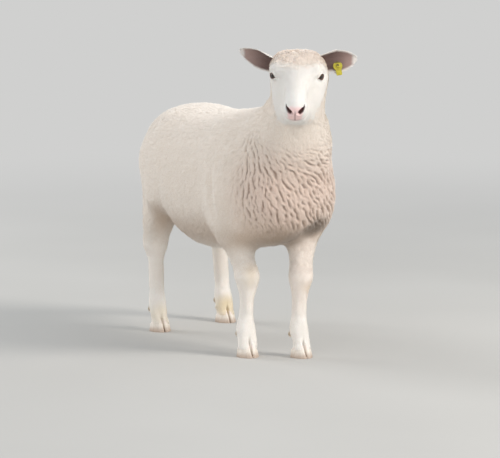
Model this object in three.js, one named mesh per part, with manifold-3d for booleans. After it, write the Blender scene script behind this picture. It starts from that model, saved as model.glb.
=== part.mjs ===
// A hornless, white-faced, newly shorn sheep at life size. It stands on four cloven feet with its head
// raised and turned about 30 degrees to its right, and wears one ear tag in its left ear.
//
// Units are millimetres. +Z is up, the animal faces -Y and its left side is at +X. The body is one
// smooth field of distances, blended from named bones and muscles. Each part is a net drawn over that
// field at a fineness of its own, cut out by boxes and planes that leave a narrow gap between parts.
// The surface is that of the coat's tips: wool on the body and poll, short hair on the face and shanks.

import * as THREE from "three";
import { mergeVertices } from "three/addons/utils/BufferGeometryUtils.js";
import Module from "manifold-3d";

const wasm = await Module();
wasm.setup();

// ---- Driving dimensions ----

const GAP = 0.4; // between neighbouring parts
const HEAD_AT = new THREE.Vector3(-13, -393, 744); // midway between the eyes
const HEAD_YAW = -29.3; // degrees: the head looks to the animal's right
const HEAD_PITCH = 34; // degrees: from the eye to the nostril, below the level
const HEAD_ROLL = 1.2; // degrees: the left side is a little lower
const KNEE_Z = 205;
const HOCK_Z = 236;
const FETLOCK_Z = 74;
const CORONET_Z = 28; // where hair meets horn, at the middle of the foot
const HOOF_LENGTH = 54;
const CLAW_WIDTH = 28.5;
const CLEFT = 3.2; // between the two claws of a foot
const EYE_RADIUS = 15;
const EYE_AT = [51, 0, 3.5]; // from the middle of the head: aside, back, up
const EAR_THICKNESS = 4.5;
const CHEST_TO_Y = -105; // behind the elbows
const RUMP_FROM_Y = 148; // at the flanks
const TAIL_FROM_Y = 374;

// An ear from base to tip: place along it, half the breadth measured round the cup, half the cup's angle.
const EAR_SECTIONS = [
  [0, 27, 100],
  [0.2, 33, 74],
  [0.45, 34.5, 46],
  [0.7, 27.5, 38],
  [0.88, 18, 34],
  [1, 6, 30],
];
// How each ear is carried: aside, back and up from the middle of the head at base, middle and tip, and
// how far its opening is turned down, in degrees.
const EARS = {
  right: { base: [-50, 34, 34], middle: [-98, 42, 49], tip: [-147, 60, 62], down: 36 },
  left: { base: [50, 34, 30], middle: [100, 40, 38], tip: [151, 56, 42], down: 4 },
};
const TAG = { along: 0.5, round: -19, radius: 12, thickness: 2, drop: 25, tilt: 7 };

// Where each foot stands: the middle of the hoof, and the joints above it.
const FORE_LEGS = {
  right: { hoof: [-64, -222], knee: [-58, -206], elbow: [-88, -178] },
  left: { hoof: [58, -292], knee: [63, -272], elbow: [99, -214] },
};
const HIND_LEGS = {
  right: { hoof: [-90, 258], hock: [-86, 301], stifle: [-106, 190] },
  left: { hoof: [141, 318], hock: [138, 356], stifle: [114, 222] },
};

// The trunk from the breast to the buttocks: place along Y, back line, belly line, half width.
const TRUNK = [
  [-320, 520, 380, 60],
  [-265, 580, 325, 100],
  [-190, 640, 292, 138],
  [-100, 640, 270, 155],
  [0, 631, 255, 164],
  [100, 630, 264, 168],
  [190, 634, 345, 157],
  [270, 620, 365, 131],
  [330, 588, 390, 98],
  [368, 550, 440, 66],
];

const SURFACES = {
  wool: { color: "#e6dccd", roughness: 0.95 },
  hair: { color: "#f2eee6", roughness: 0.85 },
  horn: { color: "#b49a78", roughness: 0.55 },
  eye: { color: "#3a2a1c", roughness: 0.08 },
  tag: { color: "#d8c62e", roughness: 0.4 },
};

// How fine each part's net is.
const HEAD_CELL = 14.5;
const TRUNK_CELL = 40;
const LEG_CELL = 21;

const radians = THREE.MathUtils.degToRad;
const at = (x, y, z) => new THREE.Vector3(x, y, z);
const clamp = THREE.MathUtils.clamp;
const SIDES = { right: -1, left: 1 };
const both = (make) => Object.values(SIDES).map(make);

// ---- Shapes as fields: a function from a point to its distance outside the surface ----

function ellipsoid(centre, radii, turn = new THREE.Euler()) {
  const toLocal = new THREE.Matrix4()
    .compose(centre, new THREE.Quaternion().setFromEuler(turn), at(1, 1, 1))
    .invert();
  const local = at(0, 0, 0);
  return (p) => {
    local.copy(p).applyMatrix4(toLocal).divide(radii);
    const reach = local.length();
    return reach < 1e-6
      ? -Math.min(radii.x, radii.y, radii.z)
      : (reach * (reach - 1)) / local.divide(radii).length();
  };
}

// A bone or muscle: a bar with round ends whose radius runs from one value to another.
function bar(from, to, radiusFrom, radiusTo) {
  const along = to.clone().sub(from);
  const lengthSq = along.lengthSq();
  const offset = at(0, 0, 0);
  return (p) => {
    const t = clamp(offset.copy(p).sub(from).dot(along) / lengthSq, 0, 1);
    return offset.addScaledVector(along, -t).length() - (radiusFrom + t * (radiusTo - radiusFrom));
  };
}

// One field from several, with the joins filled over the width given.
function blend(width, ...shapes) {
  return (p) =>
    shapes
      .map((shape) => shape(p))
      .reduce((a, b) => {
        const h = Math.max(width - Math.abs(a - b), 0) / width;
        return Math.min(a, b) - (h * h * width) / 4;
      });
}

// What is left of one field when another is hollowed out of it, with the rim rounded.
function hollow(width, shape, removed) {
  return (p) => {
    const [a, b] = [shape(p), -removed(p)];
    const h = Math.max(width - Math.abs(a - b), 0) / width;
    return Math.max(a, b) + (h * h * width) / 4;
  };
}

// A smooth curve through each column of a table whose first column is the place along the table.
function readTable(rows, place) {
  let i = 0;
  while (i < rows.length - 2 && place > rows[i + 1][0]) i++;
  const [a, b] = [rows[i], rows[i + 1]];
  const [before, after] = [rows[Math.max(i - 1, 0)], rows[Math.min(i + 2, rows.length - 1)]];
  const span = b[0] - a[0];
  const t = clamp((place - a[0]) / span, 0, 1);
  return a.map((value, column) => {
    const slopeA = ((b[column] - before[column]) / (b[0] - before[0])) * span;
    const slopeB = ((after[column] - value) / (after[0] - a[0])) * span;
    const t2 = t * t;
    const t3 = t2 * t;
    return (
      (2 * t3 - 3 * t2 + 1) * value +
      (t3 - 2 * t2 + t) * slopeA +
      (3 * t2 - 2 * t3) * b[column] +
      (t3 - t2) * slopeB
    );
  });
}

// A trunk whose rounded cross-section follows the table along Y.
function barrel(rows) {
  const SQUARENESS = 2.25; // 2 is an ellipse, and more is nearer to a box
  const [first, last] = [rows[0][0], rows[rows.length - 1][0]];
  return (p) => {
    const [, top, bottom, half] = readTable(rows, clamp(p.y, first, last));
    const high = (top - bottom) / 2;
    const aside = Math.abs(p.x / half) ** SQUARENESS;
    const up = Math.abs((p.z - (top + bottom) / 2) / high) ** SQUARENESS;
    const reach = (aside + up) ** (1 / SQUARENESS);
    return Math.max((reach - 1) * Math.min(half, high), first - p.y, p.y - last);
  };
}

// ---- The body ----

const headFrame = new THREE.Matrix4().compose(
  HEAD_AT,
  new THREE.Quaternion().setFromEuler(
    new THREE.Euler(radians(HEAD_PITCH), radians(HEAD_ROLL), radians(HEAD_YAW), "ZYX"),
  ),
  at(1, 1, 1),
);
// The head's own frame: x to its left, y back to the poll, z out of the forehead.
const onHead = (x, y, z) => at(x, y, z).applyMatrix4(headFrame);

function headField() {
  const poll = bar(at(-27, 40, 2), at(25, 40, 2), 43, 43);
  const forehead = ellipsoid(at(0, 4, 6), at(58, 46, 35));
  const temples = both((s) => ellipsoid(at(s * 48, 16, 0), at(24, 34, 30)));
  const brows = both((s) => ellipsoid(at(s * 47, 0, 17), at(21, 22, 15)));
  const cheeks = both((s) => bar(at(s * 38, 24, -38), at(s * 32, -34, -36), 27, 24));
  const jaws = both((s) => bar(at(s * 30, 16, -52), at(s * 13, -96, -44), 28, 19));
  const bridge = bar(at(0, -6, 4), at(0, -112, -1), 37, 27);
  const muzzle = ellipsoid(at(0, -114, -16), at(34, 32, 31));
  const nose = ellipsoid(at(0, -131, -7), at(26, 17, 20));
  const chin = ellipsoid(at(0, -112, -48), at(24, 23, 15));
  const skull = blend(18, poll, forehead, ...temples, ...brows);
  const snout = blend(14, bridge, muzzle, nose);
  const solid = blend(16, blend(24, skull, snout, ...cheeks), blend(12, ...jaws, chin));
  const orbits = both((s) =>
    ellipsoid(
      at(s * (EYE_AT[0] + 12), EYE_AT[1] - 13, EYE_AT[2]),
      at(14, 20, 11),
      new THREE.Euler(0, 0, radians(-s * 35)),
    ),
  );
  const local = hollow(6, solid, blend(4, ...orbits));
  const toHead = headFrame.clone().invert();
  const scratch = at(0, 0, 0);
  return (p) => local(scratch.copy(p).applyMatrix4(toHead));
}

function neckField() {
  const base = at(8, -236, 495);
  const middle = at(17, -300, 580);
  const throat = at(7, -353, 652);
  return blend(
    30,
    bar(base, middle, 133, 107),
    bar(middle, throat, 107, 66),
    bar(throat, onHead(18, 36, -34), 66, 61),
  );
}

function trunkField() {
  const shoulders = both((s) =>
    ellipsoid(
      at(s * 94 + 8, -209 - s * 22, 460),
      at(54 + s * 3, 88, 149 - s * 5),
      new THREE.Euler(radians(-24), radians(-s * 7), 0),
    ),
  );
  const breast = ellipsoid(at(8, -290, 430), at(108, 74, 110));
  const brisket = ellipsoid(at(-10, -238, 347), at(68, 88, 58));
  const rump = ellipsoid(at(0, 250, 485), at(116, 112, 120));
  const hips = both((s) => ellipsoid(at(s * 74, 228, 528), at(48, 84, 62)));
  return blend(30, blend(60, barrel(TRUNK), ...shoulders), breast, brisket, rump, ...hips);
}

// The joints of one leg, from the hoof up.
function foreJoints(name) {
  const { hoof, knee, elbow } = FORE_LEGS[name];
  return {
    coronet: at(hoof[0], hoof[1] + 4, CORONET_Z),
    fetlock: at(hoof[0] * 0.98, hoof[1] + 20, FETLOCK_Z),
    knee: at(...knee, KNEE_Z),
    elbow: at(...elbow, 345),
    shoulder: at(SIDES[name] * 96, elbow[1] - 28, 430),
  };
}

function hindJoints(name) {
  const { hoof, hock, stifle } = HIND_LEGS[name];
  return {
    coronet: at(hoof[0], hoof[1] + 4, CORONET_Z),
    fetlock: at(hoof[0], hoof[1] + 22, FETLOCK_Z),
    hock: at(...hock, HOCK_Z),
    stifle: at(...stifle, 390),
    hip: at(SIDES[name] * 80, 256, 470),
  };
}

// The two toes above the hoof, side by side below the fetlock.
function toesField(fetlock, coronet) {
  const toes = both((s) =>
    bar(fetlock.clone().add(at(s * 8, -4, -6)), coronet.clone().add(at(s * 14.5, 0, -8)), 17, 14),
  );
  return blend(5, ...toes);
}

function foreLegField(name) {
  const { coronet, fetlock, knee, elbow, shoulder } = foreJoints(name);
  const lowKnee = knee.clone().lerp(fetlock, 0.22);
  const forearmEnd = knee.clone().lerp(elbow, 0.12);
  const forearm = blend(26, bar(elbow, forearmEnd, 52, 25), bar(shoulder, elbow, 66, 54));
  const joint = blend(14, ellipsoid(knee, at(26, 25, 32)), bar(knee, lowKnee, 24, 20));
  const shank = bar(knee, fetlock, 20.5, 19.5);
  const ankle = ellipsoid(fetlock, at(23, 23, 24));
  return blend(30, forearm, blend(12, joint, shank, ankle, toesField(fetlock, coronet)));
}

function hindLegField(name) {
  const { coronet, fetlock, hock, stifle, hip } = hindJoints(name);
  const heel = hock.clone().add(at(0, 16, 14)); // the point of the hock
  const gaskinEnd = hock.clone().add(at(0, -2, 12));
  const thigh = bar(hip, stifle, 67, 56);
  const lowButtock = at(hock.x * 0.4 + hip.x * 0.6, hock.y - 20, 322);
  const highButtock = bar(hip.clone().add(at(0, 34, 0)), lowButtock, 55, 46);
  const buttock = blend(20, highButtock, bar(lowButtock, gaskinEnd, 46, 25));
  const gaskin = bar(stifle, gaskinEnd, 50, 25);
  const tendon = bar(gaskinEnd.clone().lerp(stifle, 0.35).add(at(0, 25, 12)), heel, 19, 15);
  const joint = blend(10, ellipsoid(hock, at(23, 27, 30)), bar(heel, hock, 16, 18));
  const shank = bar(hock, fetlock, 23, 20);
  const ankle = ellipsoid(fetlock, at(23, 23, 24));
  return blend(
    28,
    blend(26, thigh, buttock, gaskin),
    blend(12, tendon, joint, shank, ankle, toesField(fetlock, coronet)),
  );
}

const LEG_FIELDS = {
  fore: { right: foreLegField("right"), left: foreLegField("left") },
  hind: { right: hindLegField("right"), left: hindLegField("left") },
};

const trunkWithNeck = blend(60, trunkField(), neckField());
const tail = bar(at(0, 348, 556), at(0, 380, 466), 27, 21);
const body = blend(
  32,
  blend(30, trunkWithNeck, headField()),
  tail,
  ...Object.values(LEG_FIELDS.fore),
  ...Object.values(LEG_FIELDS.hind),
);

// ---- Solids ----

const solidFrom = (positions, triangles) =>
  new wasm.Manifold(
    new wasm.Mesh({
      numProp: 3,
      vertProperties: Float32Array.from(positions),
      triVerts: Uint32Array.from(triangles),
    }),
  );

function solidOf(geometry) {
  const bare = geometry.clone();
  bare.deleteAttribute("normal");
  bare.deleteAttribute("uv");
  const merged = mergeVertices(bare, 1e-3);
  return solidFrom(merged.attributes.position.array, merged.index.array);
}

// A closed solid through a row of rings. Each ring runs out along one side of the section and back along
// the other, so that a strip between the two closes each end.
function throughRings(rings, mirrored) {
  const size = rings[0].length;
  const quads = [];
  for (let i = 0; i + 1 < rings.length; i++)
    for (let j = 0; j < size; j++) {
      const [a, b] = [i * size + j, i * size + ((j + 1) % size)];
      quads.push([a, b, b + size, a + size]);
    }
  const last = (rings.length - 1) * size;
  for (let j = 0; j < size / 2 - 1; j++) {
    const strip = [j, j + 1, size - 2 - j, size - 1 - j];
    quads.push(strip.map((n) => n + last));
    quads.push(strip.reverse());
  }
  const triangles = quads.flatMap((quad) => {
    const [a, b, c, d] = mirrored ? quad.reverse() : quad;
    return [a, b, c, a, c, d];
  });
  return solidFrom(rings.flat(2), triangles);
}

const CORNERS = [0, 1, 2, 3, 4, 5, 6, 7].map((n) => [n & 1, (n >> 1) & 1, (n >> 2) & 1]);

// The separate sheets of surface through one grid cell, each as the list of cell edges it crosses.
// An edge is 3 times its lower corner plus its axis.
function sheetsThrough(values) {
  const inside = values.map((value) => value < 0);
  const crossed = (edge) => {
    const [corner, step] = [Math.floor(edge / 3), 1 << edge % 3];
    return !(corner & step) && inside[corner] !== inside[corner | step];
  };
  const edges = [...Array(24).keys()].filter(crossed);
  const sheetOf = new Map(edges.map((edge) => [edge, edge]));
  const join = (a, b) => {
    const [kept, dropped] = [sheetOf.get(a), sheetOf.get(b)];
    for (const edge of edges) if (sheetOf.get(edge) === dropped) sheetOf.set(edge, kept);
  };
  for (let axis = 0; edges.length > 3 && axis < 3; axis++) {
    const [u, v] = [(axis + 1) % 3, (axis + 2) % 3];
    for (const face of [0, 1 << axis]) {
      const [besideU, besideV] = [face | (1 << u), face | (1 << v)];
      const sides = [face * 3 + u, face * 3 + v, besideU * 3 + v, besideV * 3 + u];
      const found = sides.filter(crossed);
      if (found.length === 2) join(found[0], found[1]);
      if (found.length < 4) continue;
      // Two inside corners stand diagonally opposite: the surface keeps them apart.
      if (inside[face]) {
        join(sides[0], sides[1]);
        join(sides[2], sides[3]);
      } else {
        join(sides[0], sides[2]);
        join(sides[1], sides[3]);
      }
    }
  }
  if (edges.length === 3) return [edges];
  const sheets = [...new Set(sheetOf.values())];
  return sheets.map((sheet) => edges.filter((edge) => sheetOf.get(edge) === sheet));
}

// The four cells round a grid edge, as steps back from it.
const AROUND = [
  [1, 1],
  [0, 1],
  [0, 0],
  [1, 0],
];

// A closed net of quads over a field inside a box: one corner for each grid cell that the surface
// crosses, moved onto the surface. The box's own faces close the net where the body goes on.
function netOver(field, low, high, cell, level = 0) {
  const count = ["x", "y", "z"].map((axis) => Math.ceil((high[axis] - low[axis]) / cell) + 1);
  const step = [1, count[0], count[0] * count[1]];
  const place = (i, j, k) => at(low.x + i * cell, low.y + j * cell, low.z + k * cell);
  const grid = [];
  for (let k = 0; k < count[2]; k++)
    for (let j = 0; j < count[1]; j++)
      for (let i = 0; i < count[0]; i++) {
        const onEdge = [i, j, k].some((n, axis) => n === 0 || n === count[axis] - 1);
        const value = field(place(i, j, k)) - level;
        grid.push(onEdge ? Math.max(value, cell / 2) : value);
      }

  const settle = (p) => {
    const reach = cell / 8;
    for (let pass = 0; pass < 3; pass++) {
      const value = field(p) - level;
      if (Math.abs(value) > cell) return p;
      const slope = at(
        field(p.clone().setX(p.x + reach)) - level - value,
        field(p.clone().setY(p.y + reach)) - level - value,
        field(p.clone().setZ(p.z + reach)) - level - value,
      ).divideScalar(reach);
      const move = slope.multiplyScalar(-value / Math.max(slope.lengthSq(), 0.05));
      p.add(move.clampLength(0, cell / 3));
    }
    return p;
  };

  const vertexOf = new Map();
  const positions = [];
  for (let k = 0; k < count[2] - 1; k++)
    for (let j = 0; j < count[1] - 1; j++)
      for (let i = 0; i < count[0] - 1; i++) {
        const base = i * step[0] + j * step[1] + k * step[2];
        const values = CORNERS.map(([a, b, c]) => grid[base + a + b * step[1] + c * step[2]]);
        for (const sheet of sheetsThrough(values)) {
          const sum = at(0, 0, 0);
          for (const edge of sheet) {
            const [corner, axis] = [Math.floor(edge / 3), edge % 3];
            const [a, b] = [values[corner], values[corner | (1 << axis)]];
            const [x, y, z] = CORNERS[corner];
            const crossing = [i + x, j + y, k + z];
            crossing[axis] += a / (a - b);
            sum.add(place(...crossing));
            vertexOf.set(base * 24 + edge, positions.length / 3);
          }
          positions.push(...settle(sum.divideScalar(sheet.length)).toArray());
        }
      }

  const triangles = [];
  for (let k = 0; k < count[2] - 1; k++)
    for (let j = 0; j < count[1] - 1; j++)
      for (let i = 0; i < count[0] - 1; i++)
        for (let axis = 0; axis < 3; axis++) {
          if ([i, j, k].some((n, other) => other !== axis && n === 0)) continue;
          const from = i * step[0] + j * step[1] + k * step[2];
          const [a, b] = [grid[from] < 0, grid[from + step[axis]] < 0];
          if (a === b) continue;
          const [u, v] = [(axis + 1) % 3, (axis + 2) % 3];
          const quad = AROUND.map(([du, dv]) => {
            const corner = (du << u) | (dv << v);
            return vertexOf.get((from - du * step[u] - dv * step[v]) * 24 + corner * 3 + axis);
          });
          if (!a) quad.reverse();
          triangles.push(quad[0], quad[1], quad[2], quad[0], quad[2], quad[3]);
        }
  return solidFrom(positions, triangles);
}

// A box between two opposite corners, with its faces moved out by a margin.
function boxBetween(low, high, margin = 0) {
  const size = high.clone().sub(low).addScalar(2 * margin);
  const middle = low.clone().lerp(high, 0.5);
  return solidOf(new THREE.BoxGeometry(...size).translate(...middle));
}

// All that lies on the side of a plane to which the normal points.
function halfSpace(point, normal) {
  const SIZE = 1600;
  const unit = normal.clone().normalize();
  const turn = new THREE.Quaternion().setFromUnitVectors(at(0, 0, 1), unit);
  const block = new THREE.BoxGeometry(SIZE, SIZE, SIZE).translate(0, 0, SIZE / 2);
  return solidOf(block.applyMatrix4(new THREE.Matrix4().compose(point, turn, at(1, 1, 1))));
}

// ---- Nodes ----

const sheep = new THREE.Group();

// Adds one part, without the loose chips that a cut can leave beside it.
function addNode(name, solid, surface) {
  const largest = solid.decompose().sort((a, b) => b.volume() - a.volume())[0];
  const mesh = largest.getMesh();
  const geometry = new THREE.BufferGeometry()
    .setAttribute("position", new THREE.BufferAttribute(mesh.vertProperties, 3))
    .setIndex(new THREE.BufferAttribute(mesh.triVerts, 1));
  geometry.computeVertexNormals();
  const material = new THREE.MeshStandardMaterial({ ...SURFACES[surface], metalness: 0 });
  const node = new THREE.Mesh(geometry, material);
  node.name = name;
  sheep.add(node);
}

// ---- Head, muzzle, lower jaw and neck ----

// A cut plane is a point and the direction of the part that is cut off.
const NECK_CUT = { point: at(0, -228, 560), normal: at(0.1, -0.68, 0.72) };
const POLL_CUT = { point: onHead(0, 62, -30), normal: onHead(0, -0.82, 0.57).sub(HEAD_AT) };
const THROAT_CUT = { point: onHead(0, 0, -84), normal: onHead(0, 0.13, 1).sub(HEAD_AT) };
const MUZZLE_CUT = { point: onHead(0, -66, 0), normal: onHead(0, -1, 0).sub(HEAD_AT) };
const MOUTH_CUT = { point: onHead(0, -118, -32), normal: onHead(0, 0.02, -1).sub(HEAD_AT) };

// The room beyond all the cuts given, with its faces moved out by a margin.
const beyond = (cuts, margin = 0) =>
  cuts
    .map(({ point, normal }) => {
      const unit = normal.clone().normalize();
      return halfSpace(point.clone().addScaledVector(unit, -margin), unit);
    })
    .reduce((room, half) => room.intersect(half));

function eyeball(s, radius) {
  const [aside, back, up] = EYE_AT;
  return solidOf(new THREE.SphereGeometry(radius, 10, 8).translate(...onHead(s * aside, back, up)));
}

const overHead = (level) => netOver(body, at(-190, -560, 570), at(120, -270, 840), HEAD_CELL, level);
const headNet = overHead(0).intersect(beyond([POLL_CUT, THROAT_CUT]));
const skull = both((s) => eyeball(s, EYE_RADIUS + GAP)).reduce(
  (solid, eye) => solid.subtract(eye),
  headNet.subtract(beyond([MUZZLE_CUT], GAP)),
);
const snout = headNet.intersect(beyond([MUZZLE_CUT]));
addNode("head", skull, "hair");
addNode("muzzle", snout.subtract(beyond([MOUTH_CUT], GAP)), "hair");
addNode("lower_jaw", snout.intersect(beyond([MOUTH_CUT])), "hair");
for (const [name, s] of Object.entries(SIDES)) addNode(`eye_${name}`, eyeball(s, EYE_RADIUS), "eye");

const trunkNet = netOver(body, at(-266, -530, 200), at(266, 480, 830), TRUNK_CELL);
addNode(
  "neck",
  trunkNet.intersect(beyond([NECK_CUT])).subtract(beyond([POLL_CUT, THROAT_CUT], GAP)),
  "wool",
);

// ---- Ears and tag ----

const levelHead = new THREE.Matrix4().makeRotationZ(radians(HEAD_YAW)).setPosition(HEAD_AT);
const headGuard = overHead(GAP * 2.5); // the head's own net, swollen, so that the ears stay clear of it

// The ear's frame at a place along it: origin in the cup's floor, axes along, across and out of the cup.
function earFrame(name, along) {
  const { base, middle, tip, down } = EARS[name];
  const curve = new THREE.QuadraticBezierCurve3(at(...base), at(...middle), at(...tip));
  const lengthwise = curve.getTangent(along);
  const out = at(0, -Math.cos(radians(down)), -Math.sin(radians(down)));
  out.addScaledVector(lengthwise, -out.dot(lengthwise)).normalize();
  const across = lengthwise.clone().cross(out).multiplyScalar(-SIDES[name]);
  return { origin: curve.getPoint(along), lengthwise, across, out };
}

// A point of the ear: round is the angle round the cup, depth is measured back from its inner face.
function earPoint(name, along, round, depth) {
  const [, arc, angle] = readTable(EAR_SECTIONS, along);
  const { origin, across, out } = earFrame(name, along);
  const radius = arc / radians(angle);
  return origin
    .addScaledVector(out, radius - (radius + depth) * Math.cos(round))
    .addScaledVector(across, (radius + depth) * Math.sin(round))
    .applyMatrix4(levelHead);
}

function earSolid(name) {
  const LENGTHS = 6;
  const ROUNDS = 6;
  const rings = [];
  for (let i = 0; i <= LENGTHS; i++) {
    const along = Math.sin((Math.PI / 2) * (i / LENGTHS));
    const angle = radians(readTable(EAR_SECTIONS, along)[2]);
    const thickness = EAR_THICKNESS * (1 - 0.35 * along);
    const rounds = Array.from({ length: ROUNDS + 1 }, (_, j) => angle * ((2 * j) / ROUNDS - 1));
    const rim = (round) => thickness * (0.35 + 0.65 * Math.cos((round / angle) * (Math.PI / 2)));
    const back = rounds.map((round) => earPoint(name, along, round, rim(round)).toArray());
    const front = rounds.map((round) => earPoint(name, along, round, 0).toArray());
    rings.push([...back, ...front.reverse()]);
  }
  return throughRings(rings, name === "right").subtract(headGuard);
}

// The tag's frame: x along the ear, y up across it, z out of the cup, at the pin.
function tagFrame() {
  const round = radians(TAG.round);
  const { lengthwise, across, out } = earFrame("left", TAG.along);
  const lean = round - radians(TAG.tilt);
  const normal = out.multiplyScalar(Math.cos(lean)).addScaledVector(across, -Math.sin(lean));
  const up = normal.clone().cross(lengthwise);
  return new THREE.Matrix4()
    .makeRotationZ(radians(HEAD_YAW))
    .multiply(new THREE.Matrix4().makeBasis(lengthwise, up, normal))
    .setPosition(earPoint("left", TAG.along, round, 0));
}

const TAG_BACK = -EAR_THICKNESS - 0.6; // the rear disc's face, measured from the cup's floor
const TAG_FRONT = 4.6; // the panel's back
const TAG_WAIST = 7.5; // half the breadth of the panel's tongue
const PIN_RADIUS = 2.3;
const PIN_TIP = 7;

// A turned piece about the tag's pin, from a profile of radius and place along the pin.
function turned(profile) {
  const points = profile.map(([radius, along]) => new THREE.Vector2(radius, along));
  return solidOf(new THREE.LatheGeometry(points, 10).rotateX(Math.PI / 2).applyMatrix4(tagFrame()));
}

function tagFront() {
  const { radius, drop, thickness } = TAG;
  const corner = drop - 3;
  const outline = new THREE.Shape();
  outline.absarc(0, 0, radius, radians(-50), radians(230));
  outline.lineTo(-TAG_WAIST, -corner);
  outline.quadraticCurveTo(-TAG_WAIST, -drop, -TAG_WAIST + 3, -drop);
  outline.lineTo(TAG_WAIST - 3, -drop);
  outline.quadraticCurveTo(TAG_WAIST, -drop, TAG_WAIST, -corner);
  const panel = new THREE.ExtrudeGeometry(outline, {
    depth: thickness,
    bevelEnabled: false,
    curveSegments: 8,
  });
  const [base, top] = [TAG_FRONT + thickness / 2, TAG_FRONT + 4.4];
  const boss = turned([[0, base], [4.6, base], [4.6, top - 0.8], [3.8, top], [0, top]]);
  const boreRadius = PIN_RADIUS + 0.5;
  const boreEnd = PIN_TIP + 0.8;
  const bore = turned([[0, 0], [boreRadius, 0], [boreRadius, boreEnd], [0, boreEnd]]);
  const plate = solidOf(panel.translate(0, 0, TAG_FRONT).applyMatrix4(tagFrame()));
  return plate.add(boss).subtract(bore);
}

function tagBack() {
  const { radius, thickness } = TAG;
  const rear = TAG_BACK - thickness;
  return turned([
    [0, rear],
    [radius - 1, rear],
    [radius, rear + 0.8],
    [radius, TAG_BACK],
    [PIN_RADIUS, TAG_BACK],
    [PIN_RADIUS, PIN_TIP],
    [0, PIN_TIP],
  ]);
}

const pinHole = turned([[0, -12], [3, -12], [3, 6], [0, 6]]);
addNode("ear_right", earSolid("right"), "hair");
addNode("ear_left", earSolid("left").subtract(pinHole), "hair");
addNode("ear_tag_front", tagFront(), "tag");
addNode("ear_tag_back", tagBack(), "tag");

// ---- Legs ----

// Each leg's room, which starts a little off the animal's middle, and the heights at which it is divided.
const LEG_PARTS = {
  fore: {
    heights: [0, 100, 172, 240, 308],
    names: ["pastern", "cannon", "knee", "forearm"],
    joints: foreJoints,
    feet: FORE_LEGS,
    inner: 26,
    front: -345,
    back: CHEST_TO_Y,
  },
  hind: {
    heights: [0, 100, 196, 262, 304, 436],
    names: ["pastern", "cannon", "hock", "gaskin", "thigh"],
    joints: hindJoints,
    feet: HIND_LEGS,
    inner: GAP / 2,
    front: RUMP_FROM_Y,
    back: 450,
  },
};
const FINE_TO_Z = 310; // parts that reach above it come from the trunk's coarser net
const PAIRED = ["pastern", "cannon"]; // parts that both fore and hind legs have
const WOOLLED = ["forearm", "gaskin", "thigh"];
const CORONET_NORMAL = at(0, 0.45, 0.9);

// The horn's outline from toe to heel: place, and breadth as a part of the claw's.
const CLAW_OUTLINE = [
  [0, 0.18],
  [0.1, 0.46],
  [0.4, 0.9],
  [0.82, 0.94],
  [1, 0.5],
];

// One claw, standing on the ground: its outline shrinks and moves back from the sole to the coronet.
function clawSolid(foot, k) {
  const rings = [0, 0.5, 1].map((level) => {
    const swell = 1 - 0.13 * level;
    const toe = -0.54 * HOOF_LENGTH + 19 * level;
    const heel = 0.46 * HOOF_LENGTH - 3 * level;
    const point = (place, breadth) => {
      const y = toe + (heel - toe) * place;
      const top = CORONET_Z - (CORONET_NORMAL.y / CORONET_NORMAL.z) * (y - 4) - 2 * GAP;
      const x = k * (CLEFT / 2 + breadth * CLAW_WIDTH * swell + 1.5 * level * (1 - breadth));
      return [foot[0] + x, foot[1] + y, level * top];
    };
    const outer = CLAW_OUTLINE.map(([place, breadth]) => point(place, breadth));
    const inner = CLAW_OUTLINE.map(([place]) => point(0.04 + 0.92 * place, 0));
    return [...outer, ...inner.reverse()];
  });
  return throughRings(rings, k < 0);
}

const legRooms = []; // the boxes that the trunk leaves to the legs

for (const [kind, { heights, names, joints, feet, inner, front, back }] of Object.entries(LEG_PARTS))
  for (const [name, s] of Object.entries(SIDES)) {
    const { coronet, fetlock } = joints(name);
    const xs = [s * inner, s * 230].sort((a, b) => a - b);
    const slab = (z0, z1, margin) => boxBetween(at(xs[0], front, z0), at(xs[1], back, z1), margin);
    const lowNet = (top, level) =>
      netOver(body, at(xs[0] - 40, front - 40, -10), at(xs[1] + 40, back + 40, top), LEG_CELL, level);
    const leg = lowNet(330).intersect(halfSpace(coronet, CORONET_NORMAL));
    names.forEach((part, i) => {
      const node = PAIRED.includes(part) ? `${part}_${kind}_${name}` : `${part}_${name}`;
      const room = slab(heights[i] + (i && GAP), heights[i + 1]);
      const solid = (heights[i + 1] > FINE_TO_Z ? trunkNet : leg).intersect(room);
      addNode(node, solid, WOOLLED.includes(part) ? "wool" : "hair");
    });
    legRooms.push(slab(0, heights[heights.length - 1], GAP));

    const guard = lowNet(134, GAP * 4);
    for (const k of Object.values(SIDES)) {
      const side = k === s ? "outer" : "inner";
      addNode(`claw_${kind}_${name}_${side}`, clawSolid(feet[name].hoof, k), "horn");
      const dewclaw = new THREE.SphereGeometry(7.5, 6, 3).scale(0.95, 0.9, 1.35);
      dewclaw.translate(fetlock.x + k * 13, fetlock.y + 19, FETLOCK_Z - 17);
      addNode(`dewclaw_${kind}_${name}_${side}`, solidOf(dewclaw).subtract(guard), "horn");
    }
  }

// ---- Trunk and tail ----

const tailRoom = [at(-60, TAIL_FROM_Y, 436 + GAP), at(60, 480, 620)];
const TRUNK_PARTS = {
  chest: [-440, CHEST_TO_Y],
  barrel: [CHEST_TO_Y + GAP, RUMP_FROM_Y],
  rump: [RUMP_FROM_Y + GAP, 450],
};
const cleared = [...legRooms, beyond([NECK_CUT], GAP), boxBetween(...tailRoom, GAP)];
const freeTrunk = cleared.reduce((solid, room) => solid.subtract(room), trunkNet);
for (const [name, [front, back]] of Object.entries(TRUNK_PARTS))
  addNode(name, freeTrunk.intersect(boxBetween(at(-300, front, 0), at(300, back, 900))), "wool");
addNode("tail", trunkNet.intersect(boxBetween(...tailRoom)), "wool");

// The frame stands under the middle of the whole animal, on the ground.
const whole = new THREE.Box3().setFromObject(sheep);
const middle = whole.getCenter(at(0, 0, 0));
sheep.position.set(-middle.x, -middle.y, -whole.min.z);

export default sheep;
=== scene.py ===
from math import pi, radians

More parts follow.
